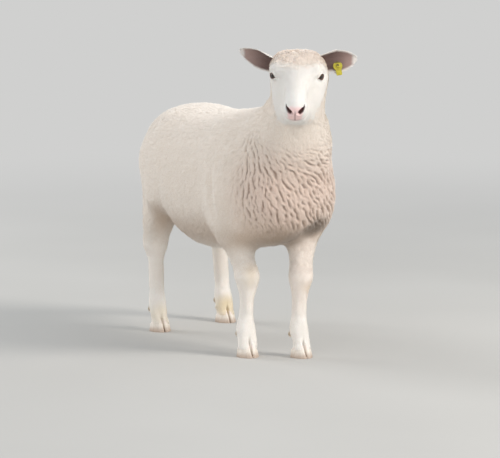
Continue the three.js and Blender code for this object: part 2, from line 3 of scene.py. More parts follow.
import bmesh
import bpy
import numpy as np
from mathutils import Euler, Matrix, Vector


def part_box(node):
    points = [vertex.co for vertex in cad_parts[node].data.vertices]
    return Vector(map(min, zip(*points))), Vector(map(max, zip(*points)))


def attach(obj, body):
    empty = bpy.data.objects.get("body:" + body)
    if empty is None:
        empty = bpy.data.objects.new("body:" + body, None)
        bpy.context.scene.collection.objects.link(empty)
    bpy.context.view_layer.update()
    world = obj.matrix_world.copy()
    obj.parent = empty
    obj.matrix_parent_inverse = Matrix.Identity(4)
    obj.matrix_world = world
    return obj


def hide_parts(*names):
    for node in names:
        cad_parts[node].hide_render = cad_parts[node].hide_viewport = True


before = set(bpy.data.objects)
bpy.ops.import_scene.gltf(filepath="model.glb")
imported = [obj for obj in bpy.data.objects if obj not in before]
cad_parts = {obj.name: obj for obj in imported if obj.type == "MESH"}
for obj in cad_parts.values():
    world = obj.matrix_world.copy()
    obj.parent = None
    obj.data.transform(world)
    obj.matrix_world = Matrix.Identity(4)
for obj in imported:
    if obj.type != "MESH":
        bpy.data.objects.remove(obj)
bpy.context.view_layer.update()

# ---- Camera ----
# A long lens at the height of a standing person's chest, ahead of the animal's right shoulder.
camera = bpy.data.objects.new("camera", bpy.data.cameras.new("camera"))
camera.data.sensor_width = 36.0
camera.data.lens = 216.94
camera.location = (-3.5896, -7.0901, 1.35)
camera.rotation_euler = (radians(90 - 7.431), 0, radians(-27))
bpy.context.collection.objects.link(camera)
bpy.context.scene.camera = camera

# ---- Skin ----
# One closed hide over the whole body. It is drawn over the flesh parts together, so that it has no seam,
# smoothed, and sunk below the tips of the coat by the coat's own depth.
GAP_FILL = 0.0006  # how far each part is swollen, to close the cuts between them
SKIN_CELL = 0.0070
NOT_FLESH = ("eye_", "claw_", "dewclaw_", "ear_")
UNDER_SKIN = ("eye_", "claw_")  # the skin is drawn over these too, then opened for them


def middle(node):
    """The middle of a CAD node's box."""
    low, high = (Vector(corner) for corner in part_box(node))
    return (low + high) / 2


def new_object(name, mesh):
    """An object of its own for a mesh, in the scene."""
    piece = bpy.data.objects.new(name, mesh)
    bpy.context.collection.objects.link(piece)
    return piece


def joined(names, swell=0.0):
    """One mesh from copies of CAD nodes, with their loose triangles joined."""
    whole = bmesh.new()
    for name in names:
        part = bmesh.new()
        part.from_mesh(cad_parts[name].data)
        bmesh.ops.remove_doubles(part, verts=part.verts, dist=1e-5)
        part.normal_update()
        for vertex in part.verts:
            vertex.co += vertex.normal * swell
        copy = bpy.data.meshes.new(name)
        part.to_mesh(copy)
        whole.from_mesh(copy)
        part.free()
        bpy.data.meshes.remove(copy)
    mesh = bpy.data.meshes.new("joined")
    whole.to_mesh(mesh)
    whole.free()
    return mesh


def applied(piece):
    """The mesh of a piece with its modifiers applied, which are then removed."""
    mesh = bpy.data.meshes.new_from_object(piece.evaluated_get(bpy.context.evaluated_depsgraph_get()))
    piece.modifiers.clear()
    return mesh


def redrawn(mesh, cell):
    """The mesh drawn again as even squares of the size given."""
    draft = new_object("draft", mesh)
    remesh = draft.modifiers.new("even squares", "REMESH")
    remesh.mode = "VOXEL"
    remesh.voxel_size = cell
    even = applied(draft)
    bpy.data.objects.remove(draft)
    return even


def points_of(mesh):
    points = np.empty(3 * len(mesh.vertices))
    mesh.vertices.foreach_get("co", points)
    return points.reshape(-1, 3)


def normals_of(mesh):
    normals = np.empty(3 * len(mesh.vertices))
    mesh.vertex_normals.foreach_get("vector", normals)
    return normals.reshape(-1, 3)


def set_points(mesh, points):
    mesh.vertices.foreach_set("co", points.ravel())
    mesh.update()


def evened(mesh, points, rounds, share, rebound=0.0):
    """Points moved by a share of the way to their neighbours' mean, and back by the rebound, each round."""
    edges = np.empty(2 * len(mesh.edges), int)
    mesh.edges.foreach_get("vertices", edges)
    a, b = edges.reshape(-1, 2).T
    count = np.bincount(edges, minlength=len(points))[:, None]
    share = np.broadcast_to(np.asarray(share, float).reshape(-1, 1), (len(points), 1))
    for _ in range(rounds):
        for step in (1.0, -rebound) if rebound else (1.0,):
            total = [
                np.bincount(a, points[b, k], len(points)) + np.bincount(b, points[a, k], len(points))
                for k in range(3)
            ]
            points = points + step * share * (np.stack(total, 1) / count - points)
    return points


def ramp(value, start, end):
    """0 before start and 1 after end, with a smooth rise between. It falls where end is the lower."""
    t = np.clip((value - start) / (end - start), 0.0, 1.0)
    return t * t * (3 - 2 * t)


def apart(points, place):
    """Distance from each point to a place."""
    return np.linalg.norm(points - place, axis=1)


def bell(value, width):
    """1 where the value is 0, falling to about a third at the width on each side."""
    return np.exp(-((value / width) ** 2))


# The head's own frame: x to its left, y back to the poll, z out of the forehead.
HEAD_TURN = np.array(Euler((radians(34), radians(1.2), radians(-29.3))).to_matrix())
EYES = {side: np.array(middle(f"eye_{side}")) for side in ("right", "left")}
HEAD_AT = (EYES["right"] + EYES["left"]) / 2


def on_head(points):
    """Points in the head's own frame."""
    return (points - HEAD_AT) @ HEAD_TURN


# Where wool takes over from the short hair of the face, round the head from the forehead to the throat:
# degrees from the top, and metres behind the eyes.
WOOL_EDGE = (
    (0, 30, 45, 70, 90, 112, 120, 135, 150, 180),
    (-0.018, -0.006, 0.006, 0.022, 0.016, -0.010, -0.035, -0.060, -0.078, -0.088),
)


def woolliness(points):
    """0 where hair is short, on the face and shanks, and 1 where the fleece is full."""
    x, y, z = on_head(points).T
    around = np.degrees(np.abs(np.arctan2(x, z + 0.02)))
    ruffle = 0.004 * np.sin(points @ (310, 270, 0)) + 0.003 * np.sin(points @ (0, 190, 430))
    edge = np.interp(around, *WOOL_EDGE)
    blend = np.interp(around, (60, 90), (0.012, 0.0))
    head = np.maximum(ramp(y + ruffle, edge - 0.004 - blend, edge + 0.014 + blend), ramp(z, -0.085, -0.100))
    near_head = ramp(apart(points, HEAD_AT), 0.24, 0.20)
    hind = points[:, 1] > 0.05
    legs = ramp(points[:, 2] + ruffle, np.where(hind, 0.215, 0.200), np.where(hind, 0.285, 0.262))
    return np.where(near_head > 0, head * near_head + (1 - near_head), 1.0) * legs


HAIR_DEPTH = 0.0022
WOOL_DEPTH = 0.0042
TOPKNOT_RISE = 0.0022  # how much less the skin is sunk under the topknot
SHANK_RISE = 0.0026  # and in the shanks
CORONET_DEPTH = -0.0016  # round the top of the hooves, where the skin stands out
SOLE_DEPTH = 0.0080  # low down, where the skin draws in behind the horn
flesh = [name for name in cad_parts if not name.startswith(NOT_FLESH)]
wrapped = [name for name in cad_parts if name.startswith(UNDER_SKIN)]
skin_mesh = redrawn(joined(flesh + wrapped, GAP_FILL), SKIN_CELL)
points = points_of(skin_mesh)
trunk = ramp(points[:, 2], 0.27, 0.36) * ramp(apart(points, HEAD_AT), 0.12, 0.17)
points = evened(skin_mesh, points, 40, 0.25 + 0.4 * trunk, 1.02)
points = evened(skin_mesh, points, 12, 0.5 * trunk)
set_points(skin_mesh, points)
wool = woolliness(points)
topknot = ramp(on_head(points)[:, 2], -0.01, 0.03) * ramp(apart(points, HEAD_AT), 0.17, 0.12)
depth = HAIR_DEPTH + (WOOL_DEPTH - HAIR_DEPTH) * wool - TOPKNOT_RISE * wool * topknot
depth = depth - SHANK_RISE * ramp(points[:, 2], 0.30, 0.22)
depth = depth + (CORONET_DEPTH - depth) * ramp(points[:, 2], 0.056, 0.042)
depth = depth + (SOLE_DEPTH - depth) * ramp(points[:, 2], 0.021, 0.013)
points = points - normals_of(skin_mesh) * depth[:, None]
set_points(skin_mesh, evened(skin_mesh, points, 3, 0.4))


def refined(mesh, chosen):
    """The mesh with every edge halved whose middle is chosen."""
    shape = bmesh.new()
    shape.from_mesh(mesh)
    shape.edges.ensure_lookup_table()
    places = np.array([(e.verts[0].co + e.verts[1].co) / 2 for e in shape.edges])
    edges = [shape.edges[i] for i in np.flatnonzero(chosen(places))]
    bmesh.ops.subdivide_edges(shape, edges=edges, cuts=1, use_grid_fill=True)
    shape.to_mesh(mesh)
    shape.free()


def from_eyes(points):
    """Distance from each point to the nearer eye."""
    return np.minimum(apart(points, EYES["right"]), apart(points, EYES["left"]))


def around_head(points):
    return apart(points - HEAD_AT, HEAD_TURN @ (0, -0.04, -0.02)) < 0.125


def around_features(points):
    near_nose = apart(points - HEAD_AT, HEAD_TURN @ (0, -0.13, -0.01)) < 0.042
    return (from_eyes(points) < 0.027) | near_nose


def around_lids(points):
    return from_eyes(points) < 0.022


# Folds and hollows pressed in the hide on both sides: the points each runs through, its depth and its
# half width. One that starts on the middle line meets its other half there.
FOLDS = (
    (
        ((0.16, -0.115, 0.60), (0.17, -0.125, 0.50), (0.16, -0.135, 0.42), (0.13, -0.150, 0.345)),
        0.0095,
        0.016,
    ),
    (((0.09, -0.300, 0.50), (0.115, -0.290, 0.42), (0.105, -0.270, 0.345)), 0.0045, 0.018),
    (((0.14, 0.160, 0.52), (0.14, 0.165, 0.42), (0.11, 0.180, 0.345)), 0.0060, 0.022),
    (((0.045, -0.27, 0.355), (0.060, -0.25, 0.320), (0.070, -0.22, 0.300)), 0.0050, 0.012),
    (((0.0, -0.395, 0.60), (0.075, -0.355, 0.625), (0.115, -0.285, 0.645)), 0.0025, 0.010),
    (((0.0, -0.390, 0.565), (0.085, -0.345, 0.585), (0.125, -0.265, 0.600)), 0.0030, 0.012),
    (((0.0, -0.385, 0.52), (0.085, -0.345, 0.535), (0.13, -0.275, 0.545)), 0.0022, 0.012),
)


def distance_to_path(places, path):
    """Distance from each point to a line of points, and how far along the line it is, 0 to 1."""
    best = np.full(len(places), np.inf)
    place = np.zeros(len(places))
    for i, (a, b) in enumerate(zip(path[:-1], path[1:])):
        a, b = np.array(a), np.array(b)
        t = np.clip((places - a) @ (b - a) / ((b - a) @ (b - a)), 0, 1)
        gap = np.linalg.norm(places - a - t[:, None] * (b - a), axis=1)
        place = np.where(gap < best, (i + t) / (len(path) - 1), place)
        best = np.minimum(best, gap)
    return best, place


points = points_of(skin_mesh)
press = np.zeros(len(points))
for path, depth, width in FOLDS:
    start = 0.12 if path[0][0] == 0 else 0.0
    for side in (points, points * (-1, 1, 1)):
        gap, place = distance_to_path(side, path)
        fade = np.maximum(np.sin(pi * (start + (1 - start) * place)), 0)
        press += depth * fade * (1.25 * bell(gap, width) - 0.25 * bell(gap, width * 2))
set_points(skin_mesh, points - normals_of(skin_mesh) * press[:, None])

# The skin parts between the two claws of each foot, in a cleft that runs up the front.
CLEFT_DEPTH = 0.013
FEET = []
for foot in sorted({name.rsplit("_", 1)[0] for name in wrapped if name.startswith("claw_")}):
    inner, outer = (np.array(middle(name)) for name in wrapped if name.startswith(foot))
    across = (outer - inner) * (1, 1, 0)
    across /= np.linalg.norm(across)
    ahead = np.array((across[1], -across[0], 0)) * (1 if across[0] > 0 else -1)
    FEET.append(((inner + outer) / 2, across, ahead))


def by_clefts(points):
    between = [
        (np.abs((points - at) @ across) < 0.011) & (np.abs((points - at) @ ahead) < 0.045)
        for at, across, ahead in FEET
    ]
    return np.any(between, axis=0) & (points[:, 2] < 0.072)


for _ in range(2):
    refined(skin_mesh, by_clefts)
points = points_of(skin_mesh)
for at, across, ahead in FEET:
    offset = points - at
    forward = offset @ ahead
    width = 0.0022 + 0.0020 * ramp(points[:, 2], 0.05, 0.02)
    cleft = bell(offset @ across, width) * ramp(points[:, 2], 0.066, 0.040)
    cleft *= ramp(forward, 0.000, 0.010) * (np.linalg.norm(offset[:, :2], axis=1) < 0.05)
    points = points - cleft[:, None] * ahead * CLEFT_DEPTH
set_points(skin_mesh, points)

# Over the breast and up the neck the hide is ruffled in furrows that fan out from above the right
# shoulder. They are drawn by short waves set at random, which join and break.
FAN_FROM = np.array((-0.10, -0.24, 0.62))
FURROW_APART = 0.0112
FURROW_DEPTH = 0.0046
WAVES = 900
WAVE_ACROSS = 0.010
WAVE_ALONG = 0.019
WAVE_SPREAD = 0.0025  # square metres: how far off a wave is still felt


def breast(points):
    """1 over the breast and the front of the neck, falling to 0 at the flanks, the forelegs and the head."""
    clear_of_head = ramp(apart(points, HEAD_AT), 0.17, 0.23)
    rise = ramp(points[:, 2], 0.325, 0.375) * ramp(points[:, 2], 0.68, 0.58)
    return ramp(points[:, 1], -0.200, -0.250) * rise * clear_of_head


def fan(points, normals):
    """The direction of the furrows at each point, laid in the hide."""
    away = points - FAN_FROM
    away = away - normals * np.sum(away * normals, axis=1)[:, None]
    return away / (np.linalg.norm(away, axis=1)[:, None] + 1e-9)


def waves(points, normals):
    """Where each wave lies, the ways across and along it, its pitch and its start."""
    chance = np.random.default_rng(7)
    inside = np.flatnonzero(breast(points) > 0)
    chosen = chance.choice(inside, WAVES, replace=False)
    along = fan(points, normals)[chosen]
    across = np.cross(along, normals[chosen])
    slant = chance.normal(0, 0.28, WAVES)[:, None]
    turned = across * np.cos(slant) + along * np.sin(slant)
    pitch = 2 * pi / (FURROW_APART * chance.uniform(0.85, 1.45, WAVES))
    start = chance.uniform(0, 2 * pi, WAVES)
    return list(zip(points[chosen], turned, np.cross(normals[chosen], turned), pitch, start))


def furrowed(points):
    """How deep each point lies in a furrow, 0 to 1."""
    inside = np.flatnonzero(breast(points) > 0)
    swell = np.zeros(len(inside))
    spread = np.zeros(len(inside))
    for place, across, along, pitch, start in RUFFLES:
        offset = points[inside] - place
        u = offset @ across
        faded = np.sum(offset**2, axis=1) / WAVE_SPREAD
        weight = np.exp(-((u / WAVE_ACROSS) ** 2) - (offset @ along / WAVE_ALONG) ** 2 - faded)
        swell += weight * np.cos(pitch * u + start)
        spread += weight**2
    depth = np.zeros(len(points))
    depth[inside] = ramp(swell / np.sqrt(spread + 1e-6), -0.05, -0.95)
    return depth * breast(points)


refined(skin_mesh, lambda points: breast(points) > 0)
points = points_of(skin_mesh)
RUFFLES = waves(points, normals_of(skin_mesh))
set_points(skin_mesh, points - normals_of(skin_mesh) * (furrowed(points) * FURROW_DEPTH)[:, None])
for chosen, rounds in ((around_head, 4), (around_features, 3)):
    refined(skin_mesh, chosen)
    points = points_of(skin_mesh)
    set_points(skin_mesh, evened(skin_mesh, points, rounds, 0.4 * chosen(points), 1.03))
refined(skin_mesh, around_lids)

# ---- Face ----
# Eyelids close over the eyeballs to almond openings, and the nose pad has comma-shaped nostrils, a groove
# down its middle and the mouth below. All are pressed or raised in the hide.
EYE_RADIUS = 0.015
LID_THICK = 0.0024
# The opening between the lids, in radians about the middle of the ball.
OPENING_FORWARD = 0.06
OPENING_HALF_LENGTH = 0.66
OPENING_ABOVE = 0.42
OPENING_BELOW = 0.34


def unit(*vector):
    """The vector made one metre long."""
    return np.array(vector) / np.linalg.norm(vector)


def eye_axes(side):
    """One eye's centre in the head's frame, and its directions outwards, to the nose and up."""
    centre = on_head(EYES[side][None])[0]
    out = unit(np.sign(centre[0]) * 0.84, -0.50, 0.20)
    nose = unit(0, -1, 0.30)
    nose = unit(*(nose - out * (nose @ out)))
    return centre, out, nose, np.cross(nose, out) * np.sign(centre[0])


def past_lids(local, side):
    """Angle of the head's points past the edge of one eye's opening, below 0 within it, and their offset."""
    centre, out, nose, up = eye_axes(side)
    offset = local - centre
    along = np.arctan2(offset @ nose, offset @ out) - OPENING_FORWARD
    above = np.arctan2(offset @ up, offset @ out)
    taper = np.clip(1 - (along / OPENING_HALF_LENGTH) ** 2, 0, 1) ** 0.85
    beyond = np.maximum(above - OPENING_ABOVE * taper, -OPENING_BELOW * taper - above)
    beyond = np.where(taper > 0, beyond, np.hypot(np.abs(along) - OPENING_HALF_LENGTH, above))
    return np.where(offset @ out > 0, beyond, 3.0), offset, above


def with_lids(local, side):
    """Head points with the lids of one eye drawn over its ball."""
    beyond, offset, above = past_lids(local, side)
    reach = np.linalg.norm(offset, axis=1)
    near = ramp(beyond, 0.95, 0.30) * ramp(reach, 0.034, 0.024)
    fold = 0.0012 * bell(beyond - 0.38, 0.08) * (above > 0)
    brim = 0.0006 * bell(beyond - 0.12, 0.08)
    within = 0.0042 * ramp(beyond, 0.02, -0.07)
    lid = EYE_RADIUS + LID_THICK * ramp(beyond, -0.04, 0.05) - within - fold + brim
    target = reach + (lid - reach) * near
    return local - offset + offset * (target / reach)[:, None]


# The middle line of a nostril, from its inner end, across the head and up it.
NOSTRIL = ((0.0064, -0.0080), (0.0110, -0.0066), (0.0165, -0.0030), (0.0212, 0.0014), (0.0226, 0.0036))
NOSTRIL_HALF_WIDTH = 0.0016  # at the ends, and the next is added in between
NOSTRIL_SWELL = 0.0046
NOSTRIL_DEPTH = 0.0085
GROOVE_DEPTH = 0.0016
MOUTH_DEPTH = 0.0026
MOUTH_Z = -0.031


def past_nostril(local):
    """Distance of the head's points from the brim of a nostril, below 0 inside it."""
    gap, place = distance_to_path(np.stack([np.abs(local[:, 0]), local[:, 2]], 1), NOSTRIL)
    return gap - NOSTRIL_HALF_WIDTH - NOSTRIL_SWELL * np.sin(pi * place**0.75)


def with_muzzle(local, normals):
    """Head points with the nostrils, the groove between them and the mouth pressed in."""
    x, y, z = local.T
    front = ramp(y, -0.100, -0.116)
    brim = past_nostril(local)
    hole = ramp(brim, 0.0010, -0.0030)
    rim = bell(brim - 0.0026, 0.0018)
    press = front * (NOSTRIL_DEPTH * hole - 0.0012 * rim * (1 - hole))
    groove = bell(x, 0.0011) * ramp(z, -0.034, -0.031) * ramp(z, -0.002, -0.010)
    press += GROOVE_DEPTH * groove * ramp(y, -0.120, -0.128)
    line = MOUTH_Z - 0.0035 * np.sin(pi * np.clip((y + 0.145) / 0.075, 0, 1))
    mouth = bell(z - line, 0.0013) * ramp(y, -0.064, -0.078)
    lip = bell(z - line - 0.005, 0.0035) * ramp(y, -0.075, -0.100)
    press += MOUTH_DEPTH * mouth - 0.0009 * lip
    return local - normals * press[:, None]


points = points_of(skin_mesh)
local = on_head(points)
for side in EYES:
    local = with_lids(local, side)
local = with_muzzle(local, normals_of(skin_mesh) @ HEAD_TURN)
set_points(skin_mesh, local @ HEAD_TURN.T + HEAD_AT)

# ---- Ears ----
# Two leaf-shaped cups of thin gristle, covered with short hair and barer inside. Each is drawn again
# finely from its own part, smoothed, and its foot is carried on into the head under the topknot.
EAR_CELL = 0.0012
EAR_FOOT = 0.026  # the length of ear that is carried into the head


def eased_ear(side):
    """One ear drawn again finely, with its foot carried into the head and gathered there."""
    mesh = redrawn(joined([f"ear_{side}"]), EAR_CELL)
    points = evened(mesh, points_of(mesh), 30, 0.5, 1.04)
    local = on_head(points)
    reach = np.abs(local[:, 0])
    below = ramp(local[:, 2], np.median(local[:, 2]) + 0.004, np.median(local[:, 2]) - 0.014)
    reach = reach - 0.010 * below
    foot = ramp(reach, reach.min() + EAR_FOOT, reach.min() + 0.002)
    inward = np.array((-np.sign(local[0, 0]), -0.05, -0.35))
    local = local + foot[:, None] * inward * (EAR_FOOT + 0.012 * below)[:, None]
    middle_line = np.array((0, local[foot > 0.5, 1].mean(), local[foot > 0.5, 2].mean()))
    local[:, 1:] += (foot * 0.22)[:, None] * (middle_line - local)[:, 1:]
    set_points(mesh, local @ HEAD_TURN.T + HEAD_AT)
    return mesh


hide = bmesh.new()
hide.from_mesh(skin_mesh)
body_points = len(hide.verts)
for side in EYES:
    hide.from_mesh(eased_ear(side))
hide.to_mesh(skin_mesh)
hide.free()
skin_mesh.shade_smooth()
skin = new_object("skin", skin_mesh)

# ---- Markings ----
# The colours of hide and coat alike, worked out once for every point of the hide from where it lies:
# cream wool, whiter face and shanks, pink nose and lid rims, the stains of a yard, and painted shade
# under the body, in folds and furrows, and in the hollows of the nose, mouth and ears.


def linear(red, green, blue):
    """A colour given as it looks, from 0 to 255, as the light it sends back."""
    return np.array([((c / 255 + 0.055) / 1.055) ** 2.4 for c in (red, green, blue)])


CREAM = linear(249, 241, 231)
BELLY_SOIL_AND_SHADE = linear(200, 176, 152)
CHEST = linear(245, 226, 213)
FACE_WHITE = linear(238, 235, 230)
SHANK_WHITE = linear(254, 250, 244)
TOPKNOT = linear(248, 237, 226)
PINK = linear(241, 209, 205)
NOSE_AND_MOUTH_SHADE = linear(74, 44, 42)
LID_DARK = linear(92, 66, 58)
OCHRE = linear(222, 192, 128)
HAY = linear(240, 218, 164)
INNER_EAR = linear(160, 130, 121)
EAR_HOLLOW_SHADE = linear(98, 77, 73)


def laid_over(colours, tone, amount):
    """Colours or directions moved towards another by an amount at each point."""
    return colours + (tone - colours) * np.clip(amount, 0, 1)[:, None]


def spot(points, centre, size):
    """1 at a place, falling to 0 at the sizes given along x, y and z."""
    return ramp(np.linalg.norm((points - centre) / size, axis=1), 1.0, 0.25)


def attribute(mesh, name, values, kind="FLOAT", domain="POINT"):
    """Stores values on the mesh for a material or a tree to read."""
    layer = mesh.attributes.new(name, kind, domain)
    field = {"FLOAT_COLOR": "color", "FLOAT_VECTOR": "vector"}.get(kind, "value")
    layer.data.foreach_set(field, np.ascontiguousarray(values).ravel())


points = points_of(skin_mesh)
normals = normals_of(skin_mesh)
local = on_head(points)
x, y, z = local.T
is_ear = np.arange(len(points)) >= body_points
wool = np.where(is_ear, 0.0, woolliness(points))
height = points[:, 2]
near_head = ramp(apart(points, HEAD_AT), 0.26, 0.20)
front = ramp(points[:, 1], -0.16, -0.30) * ramp(height, 0.62, 0.45)
underside_soil_and_shade = ramp(-normals[:, 2], 0.1, 0.9) * ramp(height, 0.44, 0.34) * ramp(height, 0.24, 0.30)
between_legs_soil_and_shade = spot(points, (-0.005, -0.20, 0.315), (0.10, 0.16, 0.075)) * ramp(height, 0.26, 0.30)
elbow_fold_shade = spot(points, (0.085, -0.240, 0.350), (0.05, 0.07, 0.045))
shank = ramp(height, 0.33, 0.25) * (0.45 + 0.55 * ramp(height, 0.16, 0.08))
colours = np.tile(CREAM, (len(points), 1))
# Under the body and between the forelegs the brown is partly soil and partly painted shade; in the fold of
# the left elbow it is painted shade.
for tone, amount in (
    (CHEST, front * 0.9),
    (BELLY_SOIL_AND_SHADE, underside_soil_and_shade * 0.8),
    (BELLY_SOIL_AND_SHADE * 0.62, between_legs_soil_and_shade * 0.85),
    (BELLY_SOIL_AND_SHADE * 0.42, elbow_fold_shade * 0.9),
    (SHANK_WHITE, shank),
    (TOPKNOT, near_head * ramp(z, 0.0, 0.02)),
    (FACE_WHITE, near_head * (1 - wool)),
):
    colours = laid_over(colours, tone, amount)

# Stains: the part each is on, how far off its middle it lies, its size, its colour and its strength.
STAINS = (
    ("knee_left", (0, -0.012, -0.012), (0.030, 0.03, 0.040), OCHRE, 0.75),
    ("knee_right", (0, -0.016, 0.010), (0.028, 0.03, 0.05), OCHRE * 0.8, 0.35),
    ("pastern_hind_left", (0, -0.015, -0.018), (0.045, 0.05, 0.050), HAY, 0.6),
    ("pastern_hind_right", (0, -0.015, -0.018), (0.045, 0.05, 0.050), HAY, 0.25),
)
for part, aside, size, tone, strength in STAINS:
    colours = laid_over(colours, tone, spot(points, np.array(middle(part)) + aside, size) * strength)
# Down in the furrows over the breast the colours are darkened: painted shade, with some pink skin and dirt.
furrow = np.where(is_ear, 0, furrowed(points))
colours = laid_over(colours, colours * (0.55, 0.47, 0.43), furrow * 0.9)

# The nose pad, nostrils, lips and lid rims are bare skin. The dark inside the nostrils, along the mouth
# and down the groove between the nostrils is painted shade.
pad_width = np.interp(z, (-0.034, -0.020, -0.010, 0.004, 0.010), (0.017, 0.017, 0.019, 0.018, 0.010))
pad = ramp(np.abs(x), pad_width + 0.004, pad_width - 0.003) * ramp(z, 0.012, 0.004)
pad = np.where(is_ear, 0, pad * ramp(z, -0.036, -0.031) * ramp(y, -0.112, -0.120))
hollow = ramp(past_nostril(local), 0.0004, -0.0016) * ramp(y, -0.098, -0.110) * ~is_ear
lips = bell(z - MOUTH_Z, 0.0045) * ramp(y, -0.100, -0.120) * ~is_ear * near_head
mouth = bell(z - MOUTH_Z, 0.0016) * ramp(y, -0.092, -0.110) * ~is_ear * near_head
groove = bell(x, 0.0012) * pad * ramp(z, 0.002, -0.006)
FAR_FROM_LIDS = 3.0  # radians, given to all points that are no part of the lids
past_lid = np.full(len(points), FAR_FROM_LIDS)
for side in EYES:
    beyond, offset, _ = past_lids(local, side)
    no_lid = is_ear | (np.linalg.norm(offset, axis=1) > 0.026)
    past_lid = np.minimum(past_lid, np.where(no_lid, FAR_FROM_LIDS, beyond))
lid_rim = ramp(past_lid, 0.20, 0.06)
for tone, amount in (
    (PINK, np.maximum(pad, lips * 0.7)),
    (NOSE_AND_MOUTH_SHADE, hollow),
    (NOSE_AND_MOUTH_SHADE, mouth * 0.9),
    (NOSE_AND_MOUTH_SHADE * 2, groove * 0.7),
    (PINK * 0.7, lid_rim * 0.6),
    (LID_DARK, lid_rim**2),
):
    colours = laid_over(colours, tone, amount)
bare = np.maximum.reduce([pad, lips * 0.8, hollow, lid_rim])

# Inside the cup of each ear the hair is thin over darker skin, and it is pale again along the rim. The
# rim is found by cutting each ear across in slices.
SLICES = 24
cup = np.zeros(len(points))
rim = np.zeros(len(points))
for side in EYES:
    own = np.flatnonzero(is_ear & (np.sign(x) == np.sign(on_head(EYES[side][None])[0, 0])))
    station = np.abs(x[own])
    axis = np.stack([np.polyval(np.polyfit(station, local[own, k], 2), station) for k in range(3)], 1)
    toward_axis = axis + (0, -0.016, -0.008) - local[own]
    toward_axis /= np.linalg.norm(toward_axis, axis=1)[:, None]
    cup[own] = ramp(np.sum(normals[own] @ HEAD_TURN * toward_axis, axis=1), 0.05, 0.40)
    cuts = np.linspace(station.min(), station.max(), SLICES + 1)
    slice_of = np.clip(np.searchsorted(cuts, station) - 1, 0, SLICES - 1)
    halfway = (cuts[1:] + cuts[:-1]) / 2
    top = np.interp(station, halfway, [z[own][slice_of == i].max() for i in range(SLICES)])
    foot = np.interp(station, halfway, [z[own][slice_of == i].min() for i in range(SLICES)])
    from_edge = np.minimum.reduce([(top - z[own]) * 0.6, z[own] - foot, (cuts[-1] - station) * 0.35])
    rim[own] = ramp(from_edge, 0.0055, 0.0020)
cup *= 1 - rim * 0.85
# Towards the foot of each cup the hollow is darkened with painted shade, and the left ear's cup is darkened
# with painted shade all over, most towards its foot.
deep = ramp(np.abs(x), 0.145, 0.075)
for tone, amount in (
    (INNER_EAR, cup * 0.9),
    (INNER_EAR * 0.68, cup * (x > 0) * (0.3 + 0.6 * deep)),
    (EAR_HOLLOW_SHADE, cup * deep * 0.9),
):
    colours = laid_over(colours, tone, amount)

attribute(skin_mesh, "markings", np.hstack([colours, np.ones((len(points), 1))]), "FLOAT_COLOR")
attribute(skin_mesh, "bare", bare)

# The lie of the coat: along the body to the tail and down, then in turn down the neck and the legs, with
# the furrows, back from the nose over the face, forward over the poll, and out along the ears.
flow = np.tile((0.0, 0.75, -0.55), (len(points), 1))
poll = near_head * wool * ramp(y, 0.065, 0.045) * ramp(z, -0.01, 0.02)
for way, share in (
    ((0.1, 0.25, -1.0), ramp(points[:, 1], -0.16, -0.27)),
    ((0.0, 0.12, -1.0), ramp(height, 0.42, 0.30)),
    (fan(points, normals), breast(points) * ~is_ear),
    (HEAD_TURN @ (0, 0.9, -0.25), near_head * (1 - wool) * ~is_ear),
    (HEAD_TURN @ (0, -0.55, 0.1), poll),
):
    flow = laid_over(flow, way, share)
along_ear = (np.sign(x)[:, None] * HEAD_TURN[:, 0]) + 0.18 * HEAD_TURN[:, 1]
flow = np.where(is_ear[:, None], along_ear, flow)
flow -= normals * np.sum(flow * normals, axis=1)[:, None]
flow /= np.linalg.norm(flow, axis=1)[:, None] + 1e-9
flow *= (1 - 0.2 * poll)[:, None]

# How far each kind of coat covers a point, and its share of its full length there.
hair_share = ramp(wool, 0.75, 0.45) * ramp(bare, 0.25, 0.05) * ramp(past_lid, 0.12, 0.22)
on_ear = np.where(cup > 0.5, 0.07, 0.9) * ramp(np.abs(x), 0.048, 0.056)
hair_share *= np.where(is_ear, on_ear, 1.0) * ramp(height, 0.016, 0.021)
fleece_share = ramp(wool, 0.15, 0.45)
hair_scale = 0.55 + 0.45 * ramp(apart(local, (0, -0.135, -0.01)), 0.03, 0.10)
hair_scale = np.where(near_head > 0.5, hair_scale * (0.4 + 0.6 * ramp(past_lid, 0.2, 1.2)), 1.0)
hair_scale = np.where(is_ear, 0.75, hair_scale)
hair_scale = hair_scale * (1 + 0.25 * ramp(height, 0.060, 0.045))
wool_scale = (0.45 + 0.55 * ramp(wool, 0.2, 0.95)) * (1 - 0.25 * near_head * ramp(z, -0.02, 0.02))

for name, values in (
    ("hair", hair_share),
    ("fleece", fleece_share),
    ("hair_scale", hair_scale),
    ("fleece_scale", wool_scale),
    ("furrow", np.clip(furrow, 0, 1)),
):
    attribute(skin_mesh, name, values)
attribute(skin_mesh, "lie", flow, "FLOAT_VECTOR")

bpy.context.view_layer.objects.active = skin
skin.select_set(True)
bpy.ops.object.mode_set(mode="EDIT")
bpy.ops.mesh.select_all(action="SELECT")
bpy.ops.uv.smart_project(angle_limit=radians(66), island_margin=0.001)
bpy.ops.object.mode_set(mode="OBJECT")
skin_mesh.uv_layers[0].name = "OFBake"


